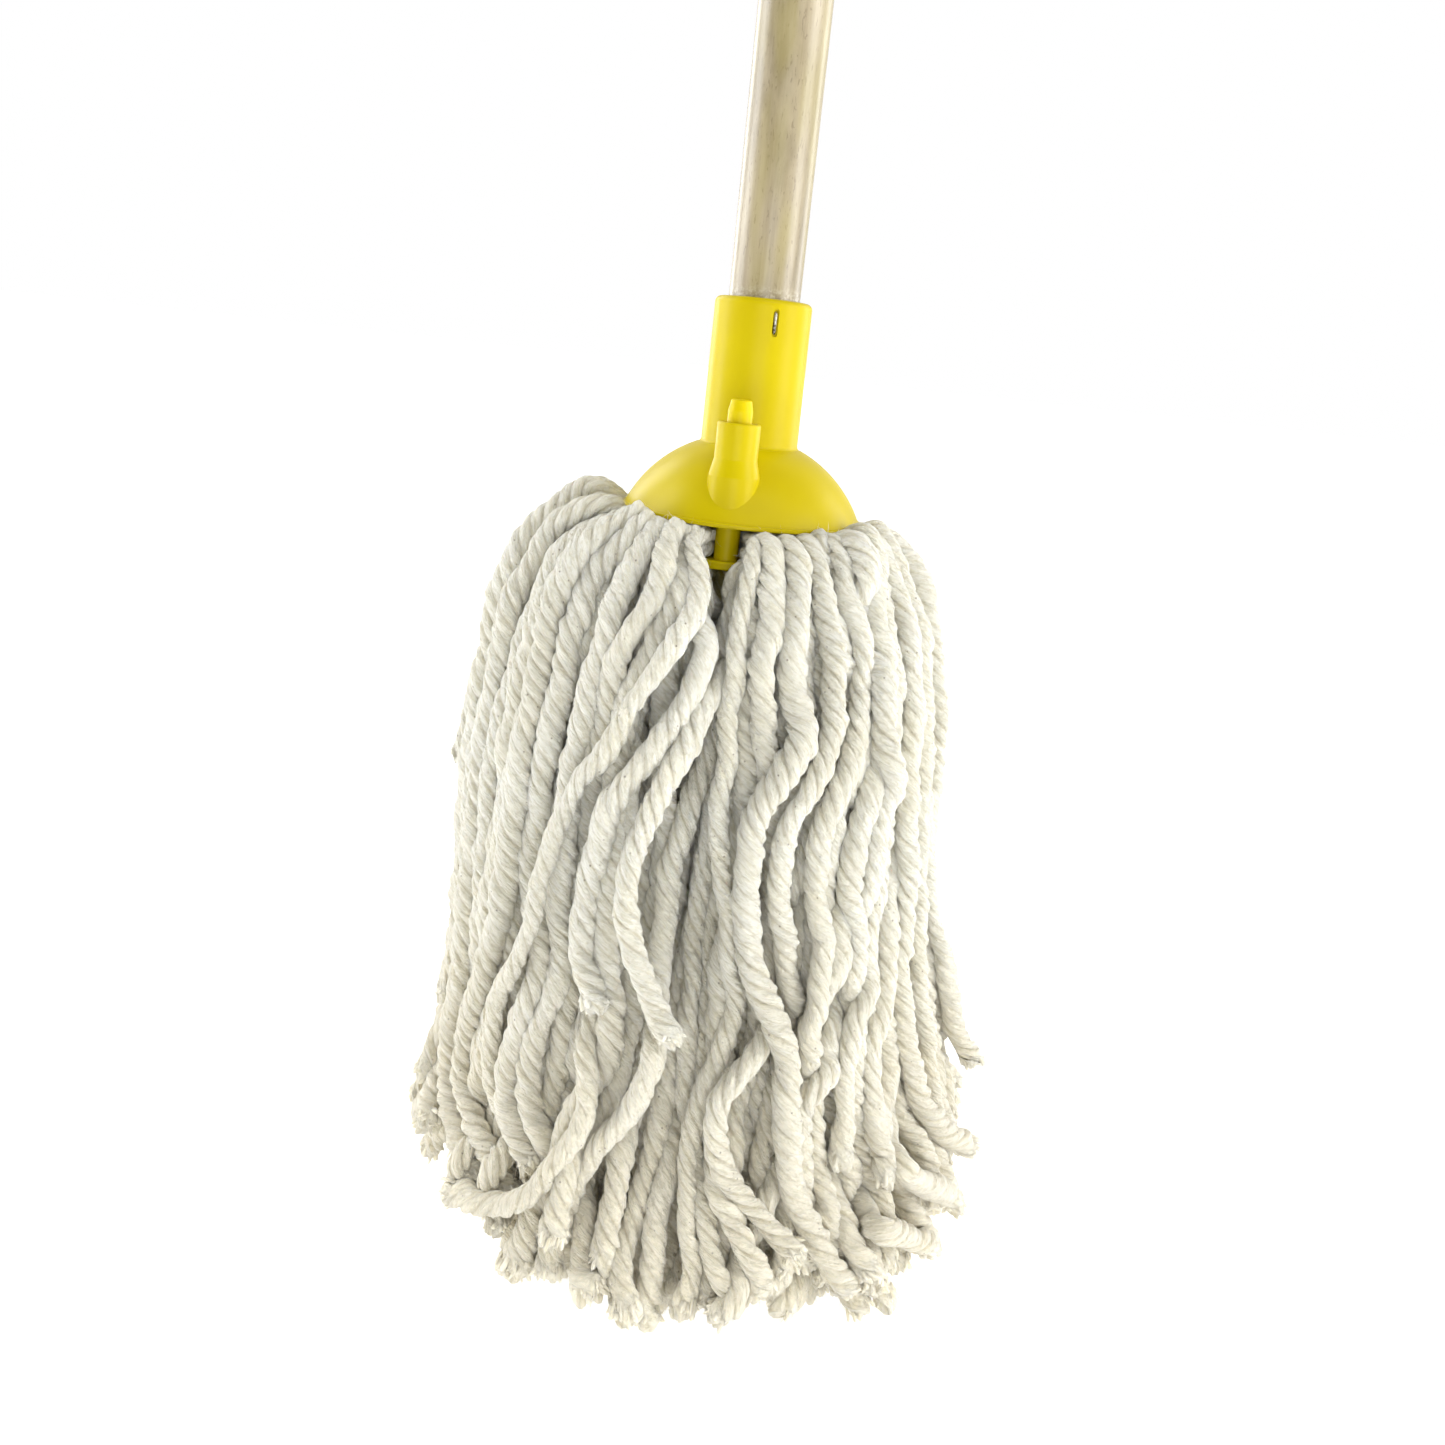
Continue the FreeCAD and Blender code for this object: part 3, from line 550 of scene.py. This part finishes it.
def rope(line, radius, brush=0.0):
    """The surface of a twisted yarn along a line. brush is how far its end opens, or 0 for a plain end."""
    line = smooth_line(line, RING_STEP)
    n = len(line)
    along = np.arange(n) * RING_STEP
    tangent, side, other = travelling_frames(line)
    for across in (side, other):
        line = line + across * (slow_noise(n, 24, 0.45) * np.minimum(along / 20, 1))[:, None]
    lay = LAY * (1 + slow_noise(n, 50, 0.09))
    twist = rng.uniform(0, 6.28) - np.cumsum(2 * math.pi * RING_STEP / lay)
    size = radius * thickness(along) * (1 + slow_noise(n, 24, 0.045) + slow_noise(n, 9, 0.018))
    wobble = size * (0.05 + 0.03 * np.abs(slow_noise(n, 40, 1.0)))
    middle = line + (side * np.cos(twist)[:, None] + other * np.sin(twist)[:, None]) * wobble[:, None]
    phase = np.arange(RING) / RING * 2 * math.pi
    crest = np.abs(np.cos(PLIES * phase / 2)) ** GROOVE
    relief = 0.95 + slow_noise(n, 25, 0.2)[:, None] + skin_noise(n, 8.0, PLIES, 0.35)
    depth = PLY_DEPTH * np.clip(relief, 0.4, 1.6)
    plump = np.stack([slow_noise(n, 9, 0.05) for _ in range(PLIES)], 1)
    ply = (np.floor(phase / (2 * math.pi) * PLIES + 0.5).astype(int)) % PLIES
    bumps = skin_noise(n, 2.2, 20, 0.035) + skin_noise(n, 3.6, 11, 0.04) + skin_noise(n, 9.0, 6, 0.035)
    shape = 1 - depth * (1 - crest)[None, :] + plump[:, ply] * crest[None, :] + bumps
    squash = slow_noise(n, 22, 0.07)[:, None]
    left = (n - 1 - np.arange(n)) * RING_STEP
    reach = OPENING + 8.0 * brush
    opening = np.clip(1 - left / reach, 0, 1)[:, None]
    rounding = np.clip(1 - left / ROUNDING, 0, 1)[:, None]
    spread = 1 + 0.5 * brush * opening ** 1.3 - 0.16 * rounding ** 2
    flat = 0.4 * brush * opening
    lobes = 1 + opening * 3 * skin_noise(n, 6.0, 9, 0.035)
    across = size[:, None] * shape * spread * lobes
    angle = phase[None, :] + twist[:, None]
    lean = rng.uniform(0, 3.14)
    x = across * np.cos(angle + lean) * (1 + squash + flat)
    y = across * np.sin(angle + lean) * (1 - squash - flat * 0.7)
    push = (opening ** 3) * (1.2 + 2.6 * brush) * skin_noise(n, 300.0, 11, 0.7)
    points = middle[:, None, :] + side[:, None, :] * x[..., None] + other[:, None, :] * y[..., None]
    points = points + tangent[:, None, :] * push[..., None]
    rings = [points]
    threads = [np.stack([np.cos(phase)[None, :] * size[:, None], np.sin(phase)[None, :] * size[:, None],
                         np.repeat(along[:, None], RING, 1)], -1)]
    last = points[-1]
    centre = last.mean(0)
    for inward, onward in END_RINGS:
        grow = 1 + 0.5 * brush
        rings.append((centre + (last - centre) * inward + tangent[-1] * onward * grow
                      + rng.normal(0, 0.22, (RING, 1)) * tangent[-1])[None])
        threads.append(threads[0][-1:] * (inward, inward, 1.0) + (0, 0, onward))
    points = np.concatenate(rings)
    threads = np.concatenate(threads)
    count = len(points)
    quads, tris = ring_faces(count)
    ends = [line[0][None], (centre + tangent[-1] * 2.3)[None]]
    points = np.concatenate([points.reshape(-1, 3)] + ends)
    threads = np.concatenate([threads.reshape(-1, 3), np.zeros((1, 3)), np.array([[0, 0, along[-1]]])])
    # How far each point lies out on a ply's crest; the cotton material paints shade into the grooves with it
    shown = np.clip(1 - (1 - crest)[None, :] * depth / PLY_DEPTH, 0, 1)
    shown = np.concatenate([shown, np.repeat(shown[-1:], count - n, 0)])
    ridge = np.concatenate([shown.reshape(-1), [0.8, 0.8]])
    tip = {"at": line[-1], "tangent": tangent[-1], "side": side[-1], "other": other[-1], "size": size[-1],
           "flat": 0.4 * brush, "spread": float(spread[-1, 0])}
    surface = points[:n * RING].reshape(n, RING, 3), middle, tangent
    return (points, quads, tris, threads, ridge), tip, surface


def hairs(starts, headings, lengths, radii, curl, blunt=False):
    """Thin fibres, each a bent three-sided rod. The arguments are arrays with a row for each fibre."""
    count = len(starts)
    bend = rng.normal(0, curl, (count, 3))
    across = np.cross(headings, rng.normal(0, 1, (count, 3)))
    across /= np.linalg.norm(across, axis=1, keepdims=True)
    over = np.cross(headings, across)
    points = []
    shape = ((0.0, 0.8), (0.5, 1.0), (0.88, 0.85)) if blunt else ((0.0, 1.0), (0.35, 0.9), (0.7, 0.65))
    for t, taper in shape:
        middle = starts + (headings * t + bend * t * t) * lengths[:, None]
        for k in range(3):
            a = 2 * math.pi * k / 3
            points.append(middle + (across * math.cos(a) + over * math.sin(a)) * (radii * taper)[:, None])
    points.append(starts + (headings + bend) * lengths[:, None])
    points = np.stack(points, 1)
    quads, tris = [], []
    for ring in range(2):
        for k in range(3):
            a, b = ring * 3 + k, ring * 3 + (k + 1) % 3
            quads.append((a, b, b + 3, a + 3))
    for k in range(3):
        tris.append((6 + k, 6 + (k + 1) % 3, 9))
    tris.append((2, 1, 0))
    step = (np.arange(count) * HAIR_POINTS)[:, None, None]
    quads = (np.array(quads)[None] + step).reshape(-1, 4)
    tris = (np.array(tris)[None] + step).reshape(-1, 3)
    return points.reshape(-1, 3), quads, tris


# Loose fibres on each millimetre of a leg, and locks of fibres at its cut end
FUZZ_PER_MM = 2.2
END_LOCKS = 40
# Lengths and radii of the loose fibres, of the locks, and of the fine hairs among the locks
FUZZ_LONG, FUZZ_R = (0.9, 3.6), (0.035, 0.07)
LOCK_LONG, LOCK_R = (2.8, 4.6), (0.65, 1.25)
FINE_LONG, FINE_R = (2.4, 5.4), (0.05, 0.12)
FINE_PER_LOCK = 3
# Points of one fibre
HAIR_POINTS = 10


def add_hairs(builder, strand, ridge, thread, *rods, **look):
    """Adds fibres that take their colour from the given points of the yarn."""
    made, quads, tris = hairs(*rods, **look)
    builder.add(made, quads, tris, np.repeat(thread, HAIR_POINTS, 0), np.full(len(made), ridge), strand)


def add_fuzz(builder, surface, strand):
    """Loose fibres that lift off a leg's surface."""
    points, middle, tangent = surface
    n = len(points)
    count = int(n * RING_STEP * FUZZ_PER_MM)
    row = rng.integers(4, n, count)
    column = rng.integers(0, RING, count)
    start = points[row, column]
    out = start - middle[row]
    out /= np.linalg.norm(out, axis=1, keepdims=True)
    way = tangent[row] * rng.choice([-1, 1], (count, 1))
    around = np.cross(tangent[row], out) * rng.normal(0, 0.9, (count, 1))
    heading = out * rng.uniform(0.15, 0.7, (count, 1)) + way + around
    heading /= np.linalg.norm(heading, axis=1, keepdims=True)
    lengths = rng.uniform(*FUZZ_LONG, count)
    radii = rng.uniform(*FUZZ_R, count)
    add_hairs(builder, strand, 1.0, start, start - out * 0.15, heading, lengths, radii, 0.45)


def add_end_locks(builder, tip, brush, strand):
    """Soft locks of fibre around and over a leg's cut end."""
    count = END_LOCKS + int(40 * brush)
    angle = rng.uniform(0, 2 * math.pi, count)
    out = np.sqrt(rng.uniform(0.0, 1.0, count))
    x = np.cos(angle) * (1 + tip["flat"])
    y = np.sin(angle) * (1 - tip["flat"] * 0.7)
    radial = tip["side"] * x[:, None] + tip["other"] * y[:, None]
    reach = tip["size"] * tip["spread"] * 0.86 * out
    start = tip["at"] + radial * reach[:, None] - tip["tangent"] * rng.uniform(2.5, 5.0, (count, 1))
    heading = tip["tangent"] + radial * (out * rng.uniform(0.0, 0.22 + 0.45 * brush, count))[:, None]
    heading /= np.linalg.norm(heading, axis=1, keepdims=True)
    lengths = rng.uniform(*LOCK_LONG, count) * (1 + 0.3 * brush)
    radii = rng.uniform(*LOCK_R, count)
    add_hairs(builder, strand, 0.95, start, start, heading, lengths, radii, 0.2, blunt=True)
    count = FINE_PER_LOCK * count
    start = np.repeat(start, FINE_PER_LOCK, 0) + rng.normal(0, 0.7, (count, 3))
    heading = np.repeat(heading, FINE_PER_LOCK, 0) + rng.normal(0, 0.35, (count, 3))
    lengths = rng.uniform(*FINE_LONG, count)
    radii = rng.uniform(*FINE_R, count)
    add_hairs(builder, strand, 1.0, start, start, heading, lengths, radii, 0.35)


# ---- meshes

def add_object(name, data):
    """A new object in the scene."""
    made = bpy.data.objects.new(name, data)
    bpy.context.scene.collection.objects.link(made)
    return made


class Builder:
    """Gathers pieces of surface for one mesh, with the yarn's own coordinates on every point."""

    def __init__(self):
        self.points, self.quads, self.tris = [], [], []
        self.thread, self.ridge, self.strand = [], [], []
        self.count = 0

    def add(self, points, quads, tris, thread, ridge, strand):
        points[:, 2] = np.maximum(points[:, 2], RIM_Z - FLOOR_DEPTH)
        self.points.append(points)
        self.quads.append(quads + self.count)
        self.tris.append(tris + self.count)
        self.thread.append(thread)
        self.ridge.append(ridge)
        self.strand.append(np.full(len(points), strand))
        self.count += len(points)

    def object(self, name):
        mesh = bpy.data.meshes.new(name)
        quads = np.concatenate(self.quads)
        tris = np.concatenate(self.tris)
        corners = np.concatenate([quads.ravel(), tris.ravel()]).astype(np.int32)
        starts = np.concatenate([np.arange(len(quads)) * 4, len(quads) * 4 + np.arange(len(tris)) * 3])
        mesh.vertices.add(self.count)
        mesh.vertices.foreach_set("co", (np.concatenate(self.points) * MM).astype(np.float32).ravel())
        mesh.loops.add(len(corners))
        mesh.loops.foreach_set("vertex_index", corners)
        mesh.polygons.add(len(starts))
        mesh.polygons.foreach_set("loop_start", starts.astype(np.int32))
        mesh.polygons.foreach_set("use_smooth", np.ones(len(starts), bool))
        for key, kind, values in (("thread", "FLOAT_VECTOR", self.thread), ("ridge", "FLOAT", self.ridge),
                                  ("strand", "FLOAT", self.strand)):
            attribute = mesh.attributes.new(key, kind, "POINT")
            flat = np.concatenate(values).astype(np.float32).ravel()
            attribute.data.foreach_set("vector" if kind == "FLOAT_VECTOR" else "value", flat)
        mesh.update(calc_edges=True)
        mesh.validate()
        return add_object(name, mesh)


def add_leg(builder, leg):
    """One leg's yarn, its brushed end and its loose fibres."""
    strand = rng.random()
    brush = 0.15 + 0.6 * rng.random() ** 2
    skin, tip, surface = rope(leg["line"], leg["r"], brush)
    builder.add(*skin, strand)
    add_end_locks(builder, tip, brush, strand)
    add_fuzz(builder, surface, strand)


# The two layers of yarn across the plate: their depths, how far out they reach, their step and flatness
MIDDLE_DEPTHS = (3.6, 8.2)
MIDDLE_REACH = 32.0
MIDDLE_STEP = 8.0
MIDDLE_FLATNESS = 0.6


def add_middles():
    """The lengths of yarn laid across the plate, between the posts."""
    builder = Builder()
    for layer, depth in enumerate(MIDDLE_DEPTHS):
        for y in np.arange(-20.0, 20.1, MIDDLE_STEP) + layer * 3.0:
            half = math.sqrt(max(MIDDLE_REACH ** 2 - y * y, 0))
            x = np.linspace(-half, half, 9)
            line = np.stack([x, y + rng.uniform(-1, 1, 9), np.full(9, RIM_Z - depth)], 1)
            skin, _, _ = rope(line, YARN_R * 1.2)
            middle_z = RIM_Z - depth
            skin[0][:, 2] = middle_z + (skin[0][:, 2] - middle_z) * MIDDLE_FLATNESS
            builder.add(*skin, rng.random())
    return builder.object("yarn_middles")


# ---- materials

def smooth_range(tree, source, low, high, to_low, to_high):
    """A value taken smoothly from one range to another, in any node tree."""
    node = tree.nodes.new("ShaderNodeMapRange")
    node.interpolation_type = "SMOOTHSTEP"
    tree.links.new(source, node.inputs["Value"])
    for key, given in (("From Min", low), ("From Max", high), ("To Min", to_low), ("To Max", to_high)):
        node.inputs[key].default_value = given
    return node.outputs[0]


class Nodes:
    """Short names for making and joining shader nodes."""

    def __init__(self, name):
        self.material = bpy.data.materials.new(name)
        self.material.use_nodes = True
        self.tree = self.material.node_tree
        self.tree.nodes.clear()
        self.shader = self.made("BsdfPrincipled")
        self.made("OutputMaterial", self.shader.outputs[0])

    def join(self, a, b):
        self.tree.links.new(a, b)

    def value(self, node, key, given):
        if isinstance(given, bpy.types.NodeSocket):
            self.join(given, node.inputs[key])
        else:
            node.inputs[key].default_value = given

    def attribute(self, name, output):
        node = self.made("Attribute")
        node.attribute_name = name
        return node.outputs[output]

    def position(self):
        return self.made("TexCoord").outputs["Object"]

    def made(self, kind, *inputs, **named):
        """A node of a kind, with its inputs joined or set, by number or by name."""
        node = self.tree.nodes.new("ShaderNode" + kind)
        for key, value in [*enumerate(inputs), *named.items()]:
            self.value(node, key, value)
        return node

    def part(self, vector, axis):
        return self.made("SeparateXYZ", vector).outputs[axis]

    def scaled(self, vector, scale):
        return self.made("Mapping", Vector=vector, Scale=scale).outputs[0]

    def noise(self, vector, scale, detail=3.0, roughness=0.55, distortion=0.0):
        node = self.made("TexNoise", Vector=vector, Scale=scale, Detail=detail, Roughness=roughness,
                         Distortion=distortion)
        return node.outputs["Fac"]

    def cells(self, vector, scale):
        return self.made("TexVoronoi", Vector=vector, Scale=scale).outputs["Distance"]

    def ramp(self, factor, low, high, to_low=0.0, to_high=1.0):
        return smooth_range(self.tree, factor, low, high, to_low, to_high)

    def math(self, kind, a, b):
        node = self.made("Math", a, b)
        node.operation = kind
        return node.outputs[0]

    def times(self, a, b):
        return self.math("MULTIPLY", a, b)

    def blend(self, factor, a, b):
        node = self.made("Mix")
        node.data_type = "RGBA"
        for key, given in ((0, factor), (6, a), (7, b)):
            self.value(node, key, given)
        return node.outputs[2]

    def bump(self, height, strength, distance, below=None):
        over = {} if below is None else {"Normal": below}
        node = self.made("Bump", Height=height, Strength=strength, Distance=distance, **over)
        return node.outputs[0]

    def set(self, **given):
        for key, value in given.items():
            self.value(self.shader, key.replace("_", " "), value)


def rgb(red, green, blue):
    """A colour given as it looks on screen, from 0 to 255, as the shader wants it."""
    parts = [c / 255 for c in (red, green, blue)]
    return tuple(c / 12.92 if c <= 0.04045 else ((c + 0.055) / 1.055) ** 2.4 for c in parts) + (1.0,)


# The height of the skirt's hem in metres, and how far above it the yarn is warmer in colour
HEM_Z = (RIM_Z - FLOOR_DEPTH) * MM
WARM_UP_TO = 0.16


def cotton_material():
    n = Nodes("ecru cotton yarn")
    thread = n.attribute("thread", "Vector")
    ridge = n.attribute("ridge", "Fac")
    strand = n.attribute("strand", "Fac")
    place_ = n.position()
    fibres = n.noise(n.scaled(thread, (1.0, 1.0, 0.28)), 1.0, 5.0, 0.66, 0.8)
    # Lumps of fluff: bumps on the surface, and painted shade in their dips
    fluff_lumps_and_shade = n.noise(n.scaled(thread, (0.8, 0.8, 0.6)), 1.0, 3.0, 0.62, 0.3)
    patches = n.noise(place_, 34.0, 3.0)
    colour = n.blend(n.ramp(patches, 0.35, 0.68), rgb(242, 240, 227), rgb(235, 231, 213))
    colour = n.blend(n.times(strand, 0.4), colour, rgb(246, 245, 236))
    down = n.part(place_, 2)
    colour = n.blend(n.ramp(down, HEM_Z, HEM_Z + WARM_UP_TO, 0.75, 0.0), colour, rgb(242, 232, 206))
    # Painted shade: the dips between the fluff lumps are darkened, standing in for shade among the fibres
    colour = n.blend(n.ramp(fluff_lumps_and_shade, 0.36, 0.56, 0.48, 0.0), colour, rgb(206, 200, 172))
    # Painted shade: the grooves between the plies are darkened to a tan, by the ridge attribute
    colour = n.blend(n.ramp(ridge, 0.0, 0.7, 0.38, 0.0), colour, rgb(190, 178, 138))
    seeds = n.times(n.ramp(n.cells(place_, 300.0), 0.05, 0.14, 1.0, 0.0),
                    n.ramp(n.noise(place_, 90.0, 1.0), 0.52, 0.58))
    colour = n.blend(n.times(seeds, 0.7), colour, rgb(120, 100, 78))
    height = n.math("ADD", n.times(fibres, 0.45), n.times(fluff_lumps_and_shade, 0.75))
    n.set(Base_Color=colour, Roughness=0.95, Normal=n.bump(height, 1.0, 0.0027))
    n.set(Specular_IOR_Level=0.1, Sheen_Weight=0.6, Sheen_Roughness=0.45)
    n.set(Subsurface_Weight=0.3, Subsurface_Scale=0.002)
    n.shader.inputs["Subsurface Radius"].default_value = (1.0, 0.9, 0.7)
    return n.material


def plastic_material(name, colour, other_colour):
    n = Nodes(name)
    place_ = n.position()
    cloud = n.noise(place_, 26.0, 2.0)
    grain = n.noise(place_, 1400.0, 2.0)
    flow = n.noise(n.scaled(place_, (60.0, 60.0, 420.0)), 1.0, 2.0)
    colour = n.blend(n.ramp(cloud, 0.3, 0.7), colour, other_colour)
    rough = n.math("ADD", n.ramp(cloud, 0.2, 0.8, 0.29, 0.35), n.times(grain, 0.06))
    fine = n.bump(grain, 0.10, 0.0002)
    n.set(Base_Color=colour, Roughness=rough, Normal=n.bump(flow, 0.05, 0.0004, fine))
    n.set(Specular_IOR_Level=0.13, IOR=1.5, Subsurface_Weight=0.12, Subsurface_Scale=0.004)
    n.shader.inputs["Subsurface Radius"].default_value = (1.0, 0.8, 0.1)
    return n.material


# How far above the socket's mouth the handle is scuffed
SCUFFED = 5.0


def wood_material():
    n = Nodes("lacquered pale wood")
    place_ = n.position()
    grain = n.noise(n.scaled(place_, (620.0, 620.0, 26.0)), 1.0, 5.0, 0.62, 0.5)
    clouds = n.noise(n.scaled(place_, (80.0, 80.0, 22.0)), 1.0, 5.0, 0.6, 0.4)
    pores = n.noise(n.scaled(place_, (1500.0, 1500.0, 420.0)), 1.0, 2.0, 0.5, 0.2)
    colour = n.blend(n.ramp(clouds, 0.30, 0.68), rgb(166, 153, 124), rgb(124, 112, 84))
    colour = n.blend(n.ramp(grain, 0.42, 0.70, 0.0, 0.24), colour, rgb(112, 94, 62))
    pore_mask = n.ramp(pores, 0.58, 0.70)
    colour = n.blend(n.times(pore_mask, 0.42), colour, rgb(96, 78, 54))
    olive = n.ramp(n.noise(n.scaled(place_, (60.0, 60.0, 14.0)), 1.0, 2.0), 0.52, 0.66, 0.0, 0.4)
    colour = n.blend(olive, colour, rgb(150, 138, 70))
    scuffs = n.ramp(n.noise(place_, 900.0, 3.0), 0.40, 0.62)
    near_mouth = n.ramp(n.part(place_, 2), CAP_HIGH[2] * MM, (CAP_HIGH[2] + SCUFFED) * MM, 0.5, 0.0)
    colour = n.blend(n.times(scuffs, near_mouth), colour, rgb(206, 196, 172))
    n.set(Base_Color=colour, Roughness=n.ramp(grain, 0.3, 0.7, 0.46, 0.56))
    n.set(Normal=n.bump(pore_mask, 0.10, 0.0002))
    n.set(Coat_Weight=0.8, Coat_Roughness=0.26, Specular_IOR_Level=0.45)
    return n.material


def steel_material():
    n = Nodes("drawn steel wire")
    place_ = n.position()
    drawn = n.noise(n.scaled(place_, (2600.0, 2600.0, 180.0)), 1.0, 3.0)
    tarnish = n.noise(place_, 620.0, 3.0)
    colour = n.blend(n.ramp(tarnish, 0.44, 0.58), rgb(168, 166, 158), rgb(70, 64, 54))
    n.set(Base_Color=colour, Metallic=1.0, Roughness=n.ramp(drawn, 0.3, 0.7, 0.28, 0.5))
    n.set(Normal=n.bump(drawn, 0.2, 0.0001))
    return n.material


def floor_material():
    n = Nodes("pale floor")
    cloud = n.noise(n.position(), 0.8, 2.0)
    n.set(Base_Color=n.blend(n.ramp(cloud, 0.3, 0.7), (0.80, 0.80, 0.80, 1), (0.78, 0.78, 0.78, 1)))
    n.set(Roughness=0.9, Specular_IOR_Level=0.1, Emission_Color=(1, 1, 1, 1), Emission_Strength=0.86)
    return n.material


def dress(node, material):
    """Puts a material on every slot of a CAD node that stays."""
    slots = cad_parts[node].material_slots
    if not slots:
        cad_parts[node].data.materials.append(material)
    for s in slots:
        s.material = material


# ---- the yarn's objects


def make_yarn():
    cotton = cotton_material()
    legs = lay_out_legs()
    settle(legs)
    builders = [Builder() for _ in range(BUNDLES)]
    for leg in legs:
        add_leg(builders[leg["bundle"]], leg)
    for k, builder in enumerate(builders):
        yarn = builder.object(f"yarn_legs_{k + 1:02d}")
        yarn.data.materials.append(cotton)
        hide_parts(f"yarn_bundle_{k + 1:02d}")
        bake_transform(yarn)
    middles = add_middles()
    middles.data.materials.append(cotton)
    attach(middles, "head")
    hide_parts("yarn_clamped")


# ---- stage, light and camera

def area_light(name, place_, aim, size, power):
    data = bpy.data.lights.new(name, "AREA")
    data.shape = "RECTANGLE"
    data.size, data.size_y = size
    data.energy = power
    light = add_object(name, data)
    light.location = place_
    light.rotation_mode = "QUATERNION"
    light.rotation_quaternion = (Vector(aim) - Vector(place_)).to_track_quat("-Z", "Y")


# Half the floor's side in metres
FLOOR_HALF = 30.0


def make_stage():
    floor_z = (RIM_Z - FLOOR_DEPTH - 1.0) * MM
    mesh = bpy.data.meshes.new("floor")
    corners = [(x * FLOOR_HALF, y * FLOOR_HALF, floor_z) for x, y in ((-1, -1), (1, -1), (1, 1), (-1, 1))]
    mesh.from_pydata(corners, [], [(0, 1, 2, 3)])
    floor = add_object("floor", mesh)
    mesh.materials.append(floor_material())


# The world's light from the front, and along each axis: where it starts and ends, and its strength
FRONT_LEVEL = 0.06
WORLD_LEVELS = ((0, 0.35, 0.95, 0.5), (0, -0.35, -0.95, 0.6), (1, -0.1, 0.8, 0.75), (2, 0.2, 1.0, 0.06))


def make_world():
    """White to the camera. As light it is strong from the sides and behind, and weak from the front."""
    world = bpy.data.worlds.new("studio")
    bpy.context.scene.world = world
    world.use_nodes = True
    tree = world.node_tree
    tree.nodes.clear()

    def node(kind):
        return tree.nodes.new(kind)

    way = node("ShaderNodeSeparateXYZ")
    tree.links.new(node("ShaderNodeTexCoord").outputs["Generated"], way.inputs[0])
    parts = []
    for axis, low, high, level in WORLD_LEVELS:
        parts.append(smooth_range(tree, way.outputs[axis], low, high, 0.0, level))
    total = FRONT_LEVEL
    for part in parts:
        add = node("ShaderNodeMath")
        add.operation = "ADD"
        tree.links.new(part, add.inputs[0])
        if isinstance(total, float):
            add.inputs[1].default_value = total
        else:
            tree.links.new(total, add.inputs[1])
        total = add.outputs[0]
    mix = node("ShaderNodeMixShader")
    tree.links.new(node("ShaderNodeLightPath").outputs["Is Camera Ray"], mix.inputs[0])
    light, seen = node("ShaderNodeBackground"), node("ShaderNodeBackground")
    tree.links.new(total, light.inputs["Strength"])
    for place_in_mix, shader in enumerate((light, seen), 1):
        shader.inputs["Color"].default_value = (1.0, 1.0, 1.0, 1.0)
        tree.links.new(shader.outputs[0], mix.inputs[place_in_mix])
    tree.links.new(mix.outputs[0], node("ShaderNodeOutputWorld").inputs[0])


# Each light panel: its name, place against the dome's rim in metres, width and height, and power
PANELS = (
    ("left panel", (-1.25, 0.0, 0.3), (0.6, 1.6), 17),
    ("right panel", (1.25, -0.25, 0.2), (0.6, 1.6), 17),
    ("top panel", (0.4, -0.7, 1.2), (1.2, 0.8), 7),
    ("front panel", (0.35, -1.7, -0.1), (0.9, 0.9), 10),
    ("back left panel", (-1.0, 0.85, 0.25), (0.4, 1.4), 8),
    ("back right panel", (1.0, 0.85, 0.15), (0.4, 1.4), 7),
)
# The panels point this far below the rim, in millimetres
LIT_DEPTH = 90


def make_lights():
    aim = (0, 0, (RIM_Z - LIT_DEPTH) * MM)
    for name, (x, y, above), size, power in PANELS:
        area_light(name, (x, y, RIM_Z * MM + above), aim, size, power)


# How far the camera looks down and rolls in degrees, and its lens in millimetres
CAMERA_DOWN = 15.7
CAMERA_ROLL = 6.1
CAMERA_LENS = 32.4


def make_camera():
    data = bpy.data.cameras.new("camera")
    data.lens = CAMERA_LENS
    data.sensor_width = 36.0
    data.clip_start, data.clip_end = 0.01, 100.0
    camera = add_object("camera", data)
    around = Matrix.Rotation(math.radians(CAMERA_TURN), 4, "Z")
    tilt = Matrix.Rotation(math.radians(90 - CAMERA_DOWN), 4, "X")
    roll = Matrix.Rotation(math.radians(CAMERA_ROLL), 4, "Z")
    camera.matrix_world = Matrix.Translation(camera_place() * MM) @ around @ tilt @ roll
    bpy.context.scene.camera = camera


make_yarn()
dress("socket_cap", plastic_material("yellow cap plastic", rgb(193, 175, 0), rgb(185, 166, 0)))
dress("retaining_plate", plastic_material("yellow plate plastic", rgb(210, 191, 0), rgb(202, 181, 0)))
dress("handle", wood_material())
dress("staple", steel_material())
make_stage()
make_world()
make_lights()
make_camera()
bpy.context.scene.view_settings.view_transform = "Standard"
